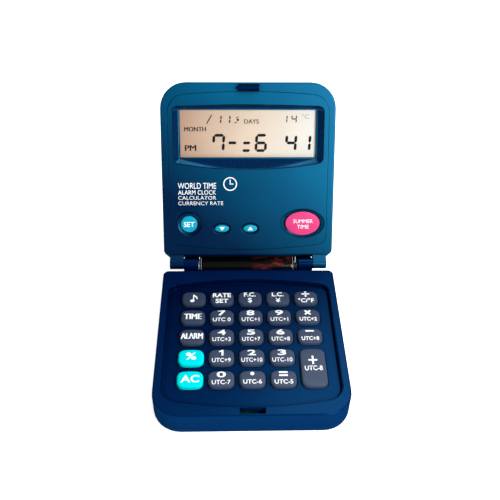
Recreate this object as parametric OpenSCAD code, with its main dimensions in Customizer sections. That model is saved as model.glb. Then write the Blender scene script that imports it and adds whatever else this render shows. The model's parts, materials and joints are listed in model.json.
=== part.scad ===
// Folding travel calculator and clock: a keypad base and a display lid on a two-knuckle hinge,
// with one AAA cell in a trough behind the hinge. The lid stands open. Millimetres, +Z up.

/* [Body] */
// Width of the base and of the lid
body_w = 78; // [77:0.5:80]
// Length of the base without the cell housing
base_len = 78; // [77.5:0.5:79]
// Height of the base up to the closing plane
base_h = 12.4; // [12.2:0.1:13]
// Reach of the lid from the hinge axis to its free edge
lid_reach = 82; // [81.5:0.5:84]
// Thickness of the lid
lid_t = 9.4; // [9.2:0.1:9.6]
// Radius of the plan corners away from the hinge
corner_r = 11.5; // [9:0.5:12]
// Wall thickness of both shells
wall = 1.6; // [1.4:0.1:1.7]
// Width of the rim round the deck and round the lid panel
rim_w = 3; // [2.8:0.1:3.2]
// Gap left between the base and the closed lid
part_gap = 0.3; // [0.2:0.05:0.4]

/* [Hinge] */
// Angle between the base and the lid when the lid rests on its stop
open_angle = 120; // [110:1:122]
// Outer radius of the hinge knuckles
knuckle_r = 2.4; // [2.2:0.1:2.5]
// Distance from the base's back edge to the hinge axis
hinge_gap = 4; // [3.8:0.1:4.4]
// Radius of the steel hinge pin
pin_r = 0.9; // [0.8:0.05:1]
// Running clearance of the pin in the lid's knuckles
pin_clearance = 0.05; // [0.02:0.01:0.1]

/* [Cell] */
// Diameter of the AAA cell
cell_d = 10.3; // [10:0.1:10.4]
// Length of the AAA cell over its positive terminal
cell_len = 44.5; // [43.5:0.1:44.5]

/* [Keys] */
// Distance between the key columns
key_pitch_x = 12.4; // [12.3:0.05:12.5]
// Distance between the key rows
key_pitch_y = 10.85; // [10.7:0.05:11.1]
// Width of one key
key_w = 10.5; // [10:0.1:10.7]
// Depth of one single-height key
key_d = 8.1; // [7.8:0.1:8.3]
// Travel of every key and button
key_travel = 1; // [0.6:0.1:1]

/* [Display] */
// Width of the display window
window_w = 61; // [58:0.5:62]
// Height of the display window
window_h = 20.9; // [19:0.1:21.5]

/* [Hidden] */
KEYS = [ // name, column from -2 to 2, row from 0 to 4
    ["key_melody", -2, 0], ["key_rate_set", -1, 0], ["key_foreign", 0, 0], ["key_local", 1, 0],
    ["key_divide", 2, 0],
    ["key_time", -2, 1], ["key_7", -1, 1], ["key_8", 0, 1], ["key_9", 1, 1], ["key_multiply", 2, 1],
    ["key_alarm", -2, 2], ["key_4", -1, 2], ["key_5", 0, 2], ["key_6", 1, 2], ["key_minus", 2, 2],
    ["key_percent", -2, 3], ["key_1", -1, 3], ["key_2", 0, 3], ["key_3", 1, 3],
    ["key_clear", -2, 4], ["key_0", -1, 4], ["key_point", 0, 4], ["key_equals", 1, 4]
];

$fn = 48;
eps = 0.01;
half_w = body_w / 2;
back_y = base_len / 2;
front_y = -base_len / 2;
back_corner_r = 2.5;
floor_t = 1.5;
edge_r = 2.2;        // rounding of the outer edges
rim_edge_r = 0.8;    // rounding of the edges that meet when closed
rim_t = 1.8;
rim_z = base_h - part_gap / 2;

// hinge and cell
hinge_y = back_y + hinge_gap;
hinge_z = base_h;
inner_knuckle = [23.3, 29.8];
outer_knuckle = [29.95, 36.2];
cell_y = hinge_y + 5;       // middle of the cell
cell_z = 6.2;
cell_r = cell_d / 2;
bay_r = cell_r + 0.2;
housing_r = bay_r + 1.2;
housing_front_z = 7.5;
cover_z = 7.2;              // top of the cell cover
cover_y = 43.5;             // its front edge
cover_half = 23;
cover_lift = 0.15;
tongue = [1.2, 4, 0.9];     // the cover's tongue in x, y and z
tongue_at = [23.3, 49, 1];
contact_x = [22.95, 23.25];
contact_r = 3.4;
can_skin = 0.12;            // how far the can lies inside its printed sleeve
nub_r = 1.9;
nub_h = 1;
fit_gap = 0.15;
foot_gap = 0.35;            // clearance round the lid's foot
sleeve_r = 1.2;
sleeve_x = [-32.3, -25.3];
wire_r = 0.6;
wire_gap = 0.2;
wire_x = -26.5;             // where the base's wires turn down
wire_z = 6;                 // where they turn forward
wire_turn_x = -33.4;        // where the lid's wires leave the hinge
wire_dip = 25;              // their slope below the lid's closing plane
wire_run = 13;

// deck and keys
deck_top = base_h - 2;
deck_t = 1.4;
deck_under = deck_top - deck_t;
deck_half = half_w - rim_w;
deck_y0 = hinge_y - 78.2;
deck_y1 = hinge_y - 9.8;
deck_bow = 170;
deck_slope = 1;
key_top = base_h - 0.5;
key_gap = 0.2;
key_flange = 0.6;
key_corner_r = 2.7;
key_bow = 26;
first_row_y = hinge_y - 21.05;
key_x0 = 0.3;        // the keypad sits a little off the middle
plus_y = first_row_y - 3.5 * key_pitch_y;
plus_d = key_d + key_pitch_y;
board_z = 4.8;
board_t = 1;
board_half = 30.3;
mat_z = board_z + board_t;
mat_t = 0.7;
pad_t = 0.2;
stem_z = mat_z + mat_t + pad_t + key_travel + 0.05;
case_screw_at = [[-33.3, -24], [33.3, -24], [-33.3, 24], [33.3, 24]];
board_screw_at = [[-18, -31], [18, -31], [-18, 30], [18, 30]];
post_r = 2.8;
boss_r = 2.2;
buzzer_at = [0, -17];
sound_hole_r = 0.7;
slot_l = 2.6;        // the latch's slot, front to back

// lid, in its own frame: y runs from the hinge axis to the free edge, z towards the user
lid_foot = 2.2;
lid_z = -part_gap / 2;
lid_back_z = lid_z - lid_t;
nose_r = lid_t / 2;
nose_y = lid_foot + nose_r;
nose_z = lid_z - nose_r;
panel_y0 = 6.6;
panel_y1 = 78.1;
panel_t = 1.6;
panel_under = lid_z - panel_t;
recess_half = 33.7;
recess_y0 = 43.8;
recess_y1 = 72.2;
recess_z = -2.15;
window_y = 59.45;
tray_z = -3.6;
glass_t = 1.8;
lid_board_z = -7.2;
lid_board_t = 0.8;
button_stem_z = -4.7;
lid_screw_at = [[-30, 33], [30, 33], [0, 31]];
BUTTONS = [ // name, centre, half axes of the cap, half axes of the dish
    ["set", [-27.1, 18.7], [3.75, 3.75], [5.6, 5.6]],
    ["down", [-12, 16.6], [3.15, 1.6], [4, 2.75]],
    ["up", [1, 16.6], [3.15, 1.6], [4, 2.75]],
    ["saving", [25, 18.9], [7.9, 5.5], [10, 6.7]]
];
latch_half = 4.55;
latch_y = [78.8, 80.3];
latch_reach = 2.6;
latch_root = lid_z - 3;

// the middle of the lid's rounded foot when the lid is open
tilt = 180 - open_angle;
open_nose = [
    hinge_y + nose_y * cos(tilt) - nose_z * sin(tilt),
    hinge_z + nose_y * sin(tilt) + nose_z * cos(tilt)];

navy = "#0b3f66";
deep_navy = "#08254f";
slate = "#4a5568";
cyan = "#10d8e0";
pink = "#ff4d8c";
steel = "#b9bcc0";

// ---- outlines ----

function arc(c, r, a, b, n = 8) = [for (i = [0:n]) let (t = a + (b - a) * i / n) c + r * [cos(t), sin(t)]];

// rectangle with corner radii r0 at the y0 end and r1 at the y1 end
function plan(half, y0, y1, r0, r1) = concat(
    arc([-half + r0, y0 + r0], r0, 180, 270), arc([half - r0, y0 + r0], r0, 270, 360),
    arc([half - r1, y1 - r1], r1, 0, 90), arc([-half + r1, y1 - r1], r1, 90, 180));

// a shell's plan, drawn in by a distance; r0 and r1 are its corner radii at the y0 and y1 ends
function shell_plan(y0, y1, r0, r1, inset) =
    plan(half_w - inset, y0 + inset, y1 - inset, max(r0 - inset, 0.3), max(r1 - inset, 0.3));

// height of the corner's centre above the centre of the end arc that it runs into
function bow_rise(half, r, bow) = sqrt(pow(bow - r, 2) - pow(half - r, 2));

// straight sides, bowed ends and round corners: bow is the radius of an end's arc
function bowed(half, y0, y1, r0, r1, bow0, bow1, n = 8) =
    let (c1 = y1 - bow1, h1 = bow_rise(half, r1, bow1), a1 = atan2(h1, half - r1),
         c0 = y0 + bow0, h0 = bow_rise(half, r0, bow0), a0 = atan2(h0, half - r0))
    concat(
        arc([half - r1, c1 + h1], r1, 0, a1, n), arc([0, c1], bow1, a1 + 1, 179 - a1, n),
        arc([-half + r1, c1 + h1], r1, 180 - a1, 180, n),
        arc([-half + r0, c0 - h0], r0, 180, 180 + a0, n), arc([0, c0], bow0, 181 + a0, 359 - a0, n),
        arc([half - r0, c0 - h0], r0, 360 - a0, 360, n));

function deck_outline(inset) =
    bowed(deck_half - inset, deck_y0 + inset, deck_y1 - inset, 7.5 - inset, 4.5 - inset, deck_bow, deck_bow);
function panel_outline(inset) =
    bowed(half_w - rim_w - inset, panel_y0 + inset, panel_y1 - inset, 4 - inset, 8 - inset, 210, 330);
function recess_outline(grow) =
    bowed(recess_half + grow, recess_y0 - grow, recess_y1 + grow, 2.6 + grow, 2.6 + grow, 190, 900);
function key_outline(w, d) = bowed(w / 2, -d / 2, d / 2, key_corner_r, key_corner_r, key_bow, key_bow, 4);
function column_x(column) = key_x0 + column * key_pitch_x;
function key_x(k) = column_x(k[1]);
function key_y(k) = first_row_y - k[2] * key_pitch_y;
function ellipse(c, a, n = 40) = [for (i = [0:n - 1]) c + [a[0] * cos(360 * i / n), a[1] * sin(360 * i / n)]];

// ---- shared shapes ----

module plate(points, z0, z1) translate([0, 0, z0]) linear_extrude(z1 - z0) polygon(points);

// a profile drawn in the YZ plane, carried along X from x0 to x1
module along_x(x0, x1) translate([x0, 0, 0]) rotate([90, 0, 90]) linear_extrude(x1 - x0) children();

// the same profile on both sides, between two distances from the middle
module along_both(range) for (x0 = [range[0], -range[1]]) along_x(x0, x0 + range[1] - range[0]) children();

module rod_x(x0, x1, y, z, r) translate([x0, y, z]) rotate([0, 90, 0]) cylinder(h = x1 - x0, r = r);

module tube(z0, z1, r_out, r_in) translate([0, 0, z0]) difference() {
    cylinder(h = z1 - z0, r = r_out);
    translate([0, 0, -1]) cylinder(h = z1 - z0 + 2, r = r_in);
}

// slices of a shell with rounded edges, from its outer face at z0 to its rim at z1
module shell_levels(y0, y1, r0, r1, z0, z1) {
    for (a = [0:22.5:90]) let (in = 1 - sin(a), up = 1 - cos(a)) {
        plate(shell_plan(y0, y1, r0, r1, edge_r * in), z0 + edge_r * up, z0 + edge_r * up + eps);
        plate(shell_plan(y0, y1, r0, r1, rim_edge_r * in), z1 - rim_edge_r * up - eps, z1 - rim_edge_r * up);
    }
}

module on_lid() translate([0, hinge_y, hinge_z]) rotate([tilt, 0, 0]) children();

// pan-head screw, head down, its tip at z_tip
module screw(z_head, head_t, head_r, shank_r, z_tip) difference() {
    union() {
        translate([0, 0, z_head]) cylinder(h = head_t, r = head_r);
        translate([0, 0, z_head + head_t]) cylinder(h = z_tip - z_head - head_t, r = shank_r);
    }
    for (a = [0, 90]) rotate([0, 0, a]) translate([-head_r * 0.65, -0.25, z_head - 1])
        cube([head_r * 1.3, 0.5, 1.5]);
}

// ---- base ----

module housing_profile() difference() {
    union() {
        intersection() {
            translate([cell_y, cell_z]) circle(housing_r);
            translate([back_y, 0]) square([20, 20]);
        }
        translate([back_y - wall, 0]) square([cell_y - back_y + wall, housing_front_z]);
    }
    translate(open_nose) circle(nose_r + foot_gap);
}

// the end blocks of the cell housing carry the base's knuckles
module end_block_profile() difference() {
    union() {
        housing_profile();
        hull() {
            translate([hinge_y, hinge_z]) circle(knuckle_r);
            translate([hinge_y - 1.5, 4]) square([4, 2]);
        }
    }
    translate(open_nose) circle(nose_r + foot_gap);
}

module base_shell() color(navy) difference() {
    union() {
        difference() {
            hull() shell_levels(front_y, back_y, corner_r, back_corner_r, 0, rim_z);
            plate(shell_plan(front_y, back_y, corner_r, back_corner_r, wall), floor_t, rim_z - rim_t);
            plate(deck_outline(0), rim_z - rim_t - 1, rim_z + 1);
        }
        along_x(-inner_knuckle[0], inner_knuckle[0]) difference() {
            housing_profile();
            translate([cell_y, cell_z]) circle(bay_r);
            translate([back_y + 0.5, 8.5]) square([12.1, 6]);
            translate([cover_y - fit_gap, -1]) square([20, cover_z + fit_gap + 1]);
        }
        along_both(inner_knuckle) end_block_profile();
        for (p = case_screw_at) translate(p) cylinder(h = 5, r = post_r);
        translate(buzzer_at) tube(1, 2.7, 11.2, 10.2);
    }
    // grooves for the cover's tongues
    for (s = [-1, 1]) translate([s * 23.7 - 0.5, tongue_at[1] - fit_gap, tongue_at[2] - fit_gap])
        cube([1, 8, tongue[2] + 2 * fit_gap]);
    // pin bore on the right, sleeve bore on the left
    rod_x(24.5, 30, hinge_y, hinge_z, pin_r);
    rod_x(-30, sleeve_x[1] + 0.1, hinge_y, hinge_z, sleeve_r);
    // wire way: down from the sleeve, then forward into the base
    translate([wire_x, hinge_y, wire_z]) cylinder(h = hinge_z - wire_z, r = wire_r + wire_gap);
    translate([wire_x, hinge_y + wire_r, wire_z]) rotate([90, 0, 0]) cylinder(h = 7, r = wire_r + wire_gap);
    // countersunk case screws
    for (p = case_screw_at) translate(p) {
        translate([0, 0, -1]) cylinder(h = 3.2, r = 2.3);
        translate([0, 0, -1]) cylinder(h = 7, r = 1.15);
    }
    // sound holes under the buzzer
    translate(buzzer_at) {
        translate([0, 0, -1]) cylinder(h = 4, r = sound_hole_r);
        for (a = [0:60:300]) rotate([0, 0, a]) translate([3, 0, -1]) cylinder(h = 4, r = sound_hole_r);
    }
    // slot for the lid's latch
    translate([-latch_half - 0.4, hinge_y - latch_y[1] - 0.7, rim_z - 4.2])
        cube([2 * latch_half + 0.8, slot_l, 6]);
}

module deck_panel() color(deep_navy) difference() {
    union() {
        difference() {
            plate(deck_outline(0.06), deck_under, rim_z - 0.2);
            hull() {
                plate(deck_outline(deck_slope), deck_top, deck_top + eps);
                plate(deck_outline(0.35), rim_z - 0.2, rim_z);
            }
        }
        for (p = case_screw_at) translate(p) translate([0, 0, 5.05]) cylinder(h = deck_under - 5, r = boss_r);
        for (p = board_screw_at) translate(p) translate([0, 0, mat_z + 0.05])
            cylinder(h = deck_under - mat_z, r = 1.8);
    }
    for (k = KEYS) translate([key_x(k), key_y(k), 0]) key_hole(key_d);
    translate([column_x(2), plus_y, 0]) key_hole(plus_d);
    for (p = case_screw_at) translate(p) translate([0, 0, 4]) cylinder(h = 5, r = 0.95);
    for (p = board_screw_at) translate(p) translate([0, 0, 4]) cylinder(h = 4.6, r = 0.75);
}

module key_hole(d) plate(key_outline(key_w + 2 * key_gap, d + 2 * key_gap), deck_under - 2, rim_z + 2);

// a domed key: cap, retaining flange under the deck, and stem
module key_cap(d, tint) color(tint) {
    hull() {
        plate(key_outline(key_w, d), deck_under - 0.5, key_top - 0.75);
        plate(key_outline(key_w - 0.5, d - 0.5), key_top - 0.4, key_top - 0.39);
        plate(key_outline(key_w - 2.4, d - 2.4), key_top - eps, key_top);
    }
    plate(key_outline(key_w + 2 * key_flange, d + 2 * key_flange), deck_under - 0.9, deck_under - 0.1);
    translate([0, 0, stem_z]) cylinder(h = deck_under - 0.9 - stem_z, r = 2.2);
}

module keypad_mat() color("#2b2f36") {
    translate([-30, -28, mat_z]) cube([60, 55, mat_t]);
    for (k = KEYS) translate([key_x(k), key_y(k), mat_z + mat_t]) cylinder(h = pad_t, r = 2);
    translate([column_x(2), plus_y, mat_z + mat_t]) cylinder(h = pad_t, r = 2);
}

module key_board() color("#1e6b3a") difference() {
    translate([-board_half, -33.5, board_z]) cube([2 * board_half, 66.5, board_t]);
    for (p = board_screw_at) translate(p) translate([0, 0, board_z - 1]) cylinder(h = board_t + 2, r = 0.95);
}

module processor_blob() color("#15161a") intersection() {
    translate([0, 6, board_z + 13]) sphere(r = 14.2);
    translate([-10, -4, 0]) cube([20, 20, board_z]);
}

module quartz_crystal() color(steel) rod_x(11, 17, 14, board_z - 1.05, 1);

module capacitor() color("#26282e") rod_x(-19, -12, 14, board_z - 1.6, 1.55);

module piezo_buzzer() translate(buzzer_at) {
    color("#c9a24a") translate([0, 0, floor_t]) cylinder(h = 0.25, r = 10);
    color("#e8e2d2") translate([0, 0, floor_t + 0.25]) cylinder(h = 0.2, r = 7);
}

module case_screws() color(steel) for (p = case_screw_at) translate(p) screw(1, 1.2, 2, 0.9, 8);

module board_screws() color(steel) for (p = board_screw_at) translate(p) screw(board_z - 1, 1, 1.6, 0.7, 8);

module cell_can() color(steel) {
    rod_x(-cell_len / 2 + 0.1, cell_len / 2 + 0.1 - nub_h, cell_y, cell_z, cell_r - can_skin);
    rod_x(cell_len / 2 + 0.1 - nub_h, cell_len / 2 + 0.1, cell_y, cell_z, nub_r);
}

module cell_wrap() color("#1a1214") translate([-cell_len / 2 + 1, cell_y, cell_z]) rotate([0, 90, 0])
    tube(0, cell_len - 2.8, cell_r, cell_r - can_skin + eps);

// a floor and a curved back wall; ahead of the cell the floor stays flat, to slide off backwards
module cell_cover() color(navy) {
    along_x(-cover_half, cover_half) difference() {
        intersection() {
            union() {
                translate([cell_y, cell_z]) circle(housing_r);
                translate([cover_y, 0]) square([cell_y - cover_y, 3]);
            }
            translate([cover_y, cover_lift]) square([20, cover_z - cover_lift]);
        }
        translate([cell_y, cell_z]) circle(bay_r);
        translate([cover_y - 1, cell_z - bay_r]) square([cell_y - cover_y + 1, cover_z]);
    }
    for (s = [-1, 1]) translate([s * tongue_at[0] - tongue[0] / 2, tongue_at[1], tongue_at[2]]) cube(tongue);
}

module contact_spring() color(steel) {
    rod_x(-contact_x[1], -contact_x[0], cell_y, cell_z, contact_r);
    for (ring = [[-22.7, 2.9], [-22.45, 2.2]]) translate([ring[0], cell_y, cell_z]) rotate([0, 90, 0])
        rotate_extrude() translate([ring[1], 0]) circle(r = 0.25, $fn = 16);
}

module contact_plate() color(steel) {
    rod_x(contact_x[0], contact_x[1], cell_y, cell_z, contact_r);
    rod_x(cell_len / 2 + 0.1, contact_x[0], cell_y, cell_z, 1.4);
}

module hinge_pin() color(steel) rod_x(24.6, 35.9, hinge_y, hinge_z, pin_r);

module hinge_sleeve() color(navy) translate([sleeve_x[0], hinge_y, hinge_z]) difference() {
    rotate([0, 90, 0]) tube(0, sleeve_x[1] - sleeve_x[0], sleeve_r, wire_r + fit_gap);
    translate([wire_x - sleeve_x[0], 0, -2]) cylinder(h = 2, r = wire_r + fit_gap);
}

// four fine wires twisted into one bundle: along the hinge axis, down and forward to the key board
module base_wires() color("#b3261e") {
    rod_x(-31, wire_x, hinge_y, hinge_z, wire_r);
    translate([wire_x, hinge_y, hinge_z]) sphere(r = wire_r);
    translate([wire_x, hinge_y, wire_z]) cylinder(h = hinge_z - wire_z, r = wire_r);
    translate([wire_x, hinge_y, wire_z]) sphere(r = wire_r);
    translate([wire_x, hinge_y, wire_z]) rotate([90, 0, 0]) cylinder(h = hinge_y - 33.5, r = wire_r);
}

// ---- lid ----

module lid_shell() color(navy) on_lid() difference() {
    union() {
        difference() {
            hull() {
                shell_levels(nose_y - 3, lid_reach, back_corner_r, corner_r, lid_back_z, lid_z);
                rod_x(-half_w + 2.2, half_w - 2.2, nose_y, nose_z, nose_r);
                rod_x(-half_w, half_w, nose_y, nose_z, nose_r - 2.2);
            }
            plate(plan(half_w - wall, 9.5, lid_reach - wall, 0.5, corner_r - wall),
                lid_back_z + floor_t, lid_z - rim_t);
            plate(panel_outline(0), lid_z - rim_t - 1, lid_z + 1);
        }
        along_both(outer_knuckle) hull() {
            circle(knuckle_r);
            translate([nose_y, nose_z]) circle(1.6);
        }
    }
    rod_x(29, 37, 0, 0, pin_r + pin_clearance);
    rod_x(-34.4, -29, 0, 0, sleeve_r + pin_clearance);
    // wire way from the sleeve into the lid
    translate([wire_turn_x, 0, 0]) rotate([-90 - wire_dip, 0, 0])
        cylinder(h = wire_run, r = wire_r + wire_gap);
    // notch round the latch
    translate([-latch_half - fit_gap, latch_y[0] - 0.5, latch_root])
        cube([2 * (latch_half + fit_gap), latch_y[1] - latch_y[0] + 1.4, 4]);
}

module button_hole(b) {
    // shallow dish, then the hole that the cap moves in
    hull() {
        plate(ellipse(b[1], b[3]), lid_z - eps, lid_z + 1);
        plate(ellipse(b[1], b[2] + [0.6, 0.6]), lid_z - 0.8, lid_z - 0.79);
    }
    plate(ellipse(b[1], b[2] + [0.2, 0.2]), -3, 1);
}

module lid_panel() color(navy) on_lid() difference() {
    union() {
        plate(panel_outline(0.06), panel_under, lid_z);
        plate(recess_outline(1.2), tray_z, panel_under);
        for (p = lid_screw_at) translate(p) translate([0, 0, lid_board_z + lid_board_t])
            cylinder(h = 5, r = 1.8);
    }
    hull() {
        plate(recess_outline(0), lid_z - eps, lid_z + 1);
        plate(plan(window_w / 2 + 0.7, window_y - window_h / 2 - 0.7,
                   window_y + window_h / 2 + 0.7, 0.6, 0.6),
            recess_z, recess_z + eps);
    }
    translate([-window_w / 2 - 0.1, window_y - window_h / 2 - 0.1, tray_z - 1])
        cube([window_w + 0.2, window_h + 0.2, 4]);
    for (b = BUTTONS) button_hole(b);
    for (p = lid_screw_at) translate(p) translate([0, 0, lid_board_z]) cylinder(h = 5, r = 0.75);
}

// a cap with a crowned top, a flange behind the panel and a stem
module lid_button(b, tint) color(tint) on_lid() {
    hull() {
        plate(ellipse(b[1], b[2]), -2.5, lid_z - 0.55);
        plate(ellipse(b[1], b[2] * 0.8), lid_z - 0.2, lid_z - 0.19);
        plate(ellipse(b[1], b[2] * 0.5), lid_z - 0.06, lid_z - 0.05);
    }
    plate(ellipse(b[1], b[2] + [0.9, 0.9]), -2.7, -1.9);
    translate([b[1][0], b[1][1], button_stem_z]) cylinder(h = -2.7 - button_stem_z, r = 1.5);
}
module set_button() lid_button(BUTTONS[0], cyan);
module down_button() lid_button(BUTTONS[1], cyan);
module up_button() lid_button(BUTTONS[2], cyan);
module saving_button() lid_button(BUTTONS[3], pink);

module lcd_lens() color("#e8e4d0", 0.5) on_lid()
    translate([-window_w / 2, window_y - window_h / 2, recess_z - 1]) cube([window_w, window_h, 0.9]);

module lcd_glass() color("#d9cdb0") on_lid()
    translate([-32, window_y - 13.5, tray_z - 0.05 - glass_t]) cube([64, 26, glass_t]);

module lcd_holder() color("#e6e6e2") on_lid() difference() {
    translate([-34, window_y - 15.5, tray_z - 2.35]) cube([68, 30, 2.3]);
    translate([-32.15, window_y - 13.65, tray_z - 3]) cube([64.3, 26.3, 4]);
}

module zebra_strip() color("#303136") on_lid()
    translate([-31, window_y - 13, lid_board_z + lid_board_t])
        cube([62, 2, tray_z - 0.05 - glass_t - lid_board_z - lid_board_t]);

module display_board() color("#1e6b3a") on_lid() difference() {
    translate([-33, 11, lid_board_z]) cube([66, 63, lid_board_t]);
    for (p = lid_screw_at) translate(p) translate([0, 0, lid_board_z - 1])
        cylinder(h = lid_board_t + 2, r = 0.9);
}

module lid_button_mat() color("#2b2f36") on_lid()
    translate([-32.5, 11.5, lid_board_z + lid_board_t]) cube([65, 14.5, 0.6]);

module lid_board_screws() color(steel) on_lid() for (p = lid_screw_at) translate(p)
    screw(lid_board_z - 0.7, 0.7, 1.5, 0.7, -3.2);

module latch_hook() color(navy) on_lid() along_x(-latch_half, latch_half) polygon([
    [latch_y[0], latch_root], [latch_y[1], latch_root], [latch_y[1], latch_reach - 1.2],
    [latch_y[1] + 0.25, latch_reach - 0.8], [latch_y[1] - 0.3, latch_reach], [latch_y[0] + 0.3, latch_reach],
    [latch_y[0], latch_reach - 0.4]]);

module lid_wires() color("#b3261e") on_lid() {
    rod_x(wire_turn_x, sleeve_x[0] - 0.1, 0, 0, wire_r);
    translate([wire_turn_x, 0, 0]) sphere(r = wire_r);
    translate([wire_turn_x, 0, 0]) rotate([-90 - wire_dip, 0, 0]) cylinder(h = wire_run, r = wire_r);
}

module thermistor() color("#1d1d22") on_lid()
    translate([24, 38, lid_board_z + lid_board_t + 0.9]) sphere(r = 0.9, $fn = 24);

// ---- what is drawn ----

base_shell();
deck_panel();
keypad_mat();
key_board();
processor_blob();
quartz_crystal();
capacitor();
piezo_buzzer();
case_screws();
board_screws();
cell_can();
cell_wrap();
cell_cover();
contact_spring();
contact_plate();
hinge_pin();
hinge_sleeve();
base_wires();
for (k = KEYS) translate([key_x(k), key_y(k), 0])
    key_cap(key_d, k[0] == "key_percent" || k[0] == "key_clear" ? cyan : slate);
translate([column_x(2), plus_y, 0]) key_cap(plus_d, slate);  // key_plus
lid_shell();
lid_panel();
lcd_lens();
lcd_glass();
lcd_holder();
zebra_strip();
display_board();
lid_button_mat();
set_button();
down_button();
up_button();
saving_button();
latch_hook();
lid_wires();
lid_board_screws();
thermistor();
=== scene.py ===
# Folding travel calculator and clock: a keypad base with one AAA cell behind it, and a display lid
# on a two-knuckle hinge. Sizes are in millimetres, and mm turns them to metres where they meet Blender.

import json
import math

import bpy
from mathutils import Matrix, Vector


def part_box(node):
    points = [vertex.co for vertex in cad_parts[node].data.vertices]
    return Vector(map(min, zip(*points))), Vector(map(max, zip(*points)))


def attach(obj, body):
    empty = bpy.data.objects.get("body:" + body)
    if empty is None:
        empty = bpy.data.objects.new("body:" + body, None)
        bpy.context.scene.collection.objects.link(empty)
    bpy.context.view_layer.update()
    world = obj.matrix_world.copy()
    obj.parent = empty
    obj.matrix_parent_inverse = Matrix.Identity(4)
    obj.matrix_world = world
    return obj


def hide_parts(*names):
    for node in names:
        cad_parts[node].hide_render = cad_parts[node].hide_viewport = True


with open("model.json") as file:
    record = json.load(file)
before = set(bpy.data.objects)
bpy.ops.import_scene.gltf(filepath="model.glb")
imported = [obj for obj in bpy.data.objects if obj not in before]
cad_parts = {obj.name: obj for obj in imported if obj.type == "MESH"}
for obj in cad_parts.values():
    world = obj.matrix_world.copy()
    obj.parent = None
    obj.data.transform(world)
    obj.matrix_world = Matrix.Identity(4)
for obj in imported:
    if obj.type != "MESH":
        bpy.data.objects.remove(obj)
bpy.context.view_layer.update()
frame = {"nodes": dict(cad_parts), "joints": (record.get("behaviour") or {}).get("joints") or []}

# ---- view ----
# A camera held above and in front, turned a little, with the whole open calculator in its square frame.
# Its place is given from the middle of the hinge.
mm = 0.001
hinge = next(j for j in frame["joints"] if j["name"] == "lid_hinge")
hinge_at = Vector(hinge["pos_m"])
camera_from_hinge = Vector((-7.8, -225.8, 220.0)) * mm
turn, pitch, roll = math.radians(-2.1), math.radians(90 - 43.08), math.radians(1.15)

bpy.context.scene.view_settings.view_transform = "Standard"
camera_data = bpy.data.cameras.new("camera")
camera_data.lens = 48.8
camera_data.sensor_width = 36
camera_data.shift_x = 0.001
camera = bpy.data.objects.new("camera", camera_data)
bpy.context.scene.collection.objects.link(camera)
camera.matrix_world = (
    Matrix.Translation(hinge_at + camera_from_hinge)
    @ Matrix.Rotation(turn, 4, "Z")
    @ Matrix.Rotation(pitch, 4, "X")
    @ Matrix.Rotation(roll, 4, "Z")
)
bpy.context.scene.camera = camera


# ---- floor and light ----
# A white paper sheet under soft studio light: a large soft box overhead, behind and to the right, and a
# smaller one ahead and to the right.
def srgb(hex_colour):
    """An sRGB hex colour as the linear one that shaders and lights take."""
    channels = [int(hex_colour[i : i + 2], 16) / 255 for i in (1, 3, 5)]
    return tuple(c / 12.92 if c <= 0.04045 else ((c + 0.055) / 1.055) ** 2.4 for c in channels) + (1.0,)


def add(tree, kind, settings=None, links=None):
    """Adds a shader node. Settings go to its sockets or properties; links run from other nodes' outputs."""
    node = tree.nodes.new(kind)
    for name, value in (settings or {}).items():
        if isinstance(name, int) or name in node.inputs:
            node.inputs[name].default_value = value
        else:
            setattr(node, name, value)
    for name, socket in (links or {}).items():
        tree.links.new(socket, node.inputs[name])
    return node


def new_material(name):
    """An empty material with its output, and the tree to build it in."""
    material = bpy.data.materials.new(name)
    material.use_nodes = True
    material.node_tree.nodes.clear()
    return material, material.node_tree


floor_side, floor_drop = 30000, 0.02  # far wider than any view, and just under the case

# matt white paper: it glows a little of its own, so that it stays white round the object
paper, tree = new_material("white_paper_sweep")
shader = add(tree, "ShaderNodeBsdfPrincipled", {
    "Base Color": srgb("#f4f4f4"), "Roughness": 0.9, "Specular IOR Level": 0.1,
    "Emission Color": srgb("#ffffff"), "Emission Strength": 0.82,
})
add(tree, "ShaderNodeOutputMaterial", {}, {"Surface": shader.outputs[0]})

bpy.ops.object.select_all(action="DESELECT")
bpy.ops.mesh.primitive_plane_add(size=floor_side * mm, location=(0, 0, -floor_drop * mm))
floor = bpy.context.object
floor.name = "floor"
bpy.ops.object.transform_apply(location=True, rotation=True, scale=True)
floor.data.materials.append(paper)

studio = bpy.data.worlds.new("studio")
studio.use_nodes = True
studio.node_tree.nodes["Background"].inputs["Color"].default_value = srgb("#ffffff")
studio.node_tree.nodes["Background"].inputs["Strength"].default_value = 0.16
bpy.context.scene.world = studio

SOFT_BOXES = [  # name, place and aim in millimetres, side, watts
    ("soft_box_top", (200, 260, 640), (0, -20, 0), 420, 3.2),
    ("soft_box_front", (270, -320, 330), (0, 65, 40), 260, 3.6),
]
for name, place, aim, side, watts in SOFT_BOXES:
    lamp = bpy.data.lights.new(name, "AREA")
    lamp.size = side * mm
    lamp.energy = watts
    holder = bpy.data.objects.new(name, lamp)
    bpy.context.scene.collection.objects.link(holder)
    away = (Vector(aim) - Vector(place)) * mm
    aimed = away.to_track_quat("-Z", "Y").to_matrix().to_4x4()
    holder.matrix_world = Matrix.Translation(Vector(place) * mm) @ aimed


# ---- base shell ----
# The lower half of the case, with the knuckles and the cell housing behind. It is one ABS moulding
# with a fine spark-eroded skin, closed from below by four screws.
def pick(piece):
    """Makes a piece the only one selected, and the active one."""
    bpy.ops.object.select_all(action="DESELECT")
    piece.select_set(True)
    bpy.context.view_layer.objects.active = piece
    return piece


def modify(piece, kind, **settings):
    """Adds a modifier to a piece and applies it."""
    pick(piece)
    modifier = piece.modifiers.new(kind.lower(), kind)
    for name, value in settings.items():
        setattr(modifier, name, value)
    bpy.ops.object.modifier_apply(modifier=modifier.name)


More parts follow.
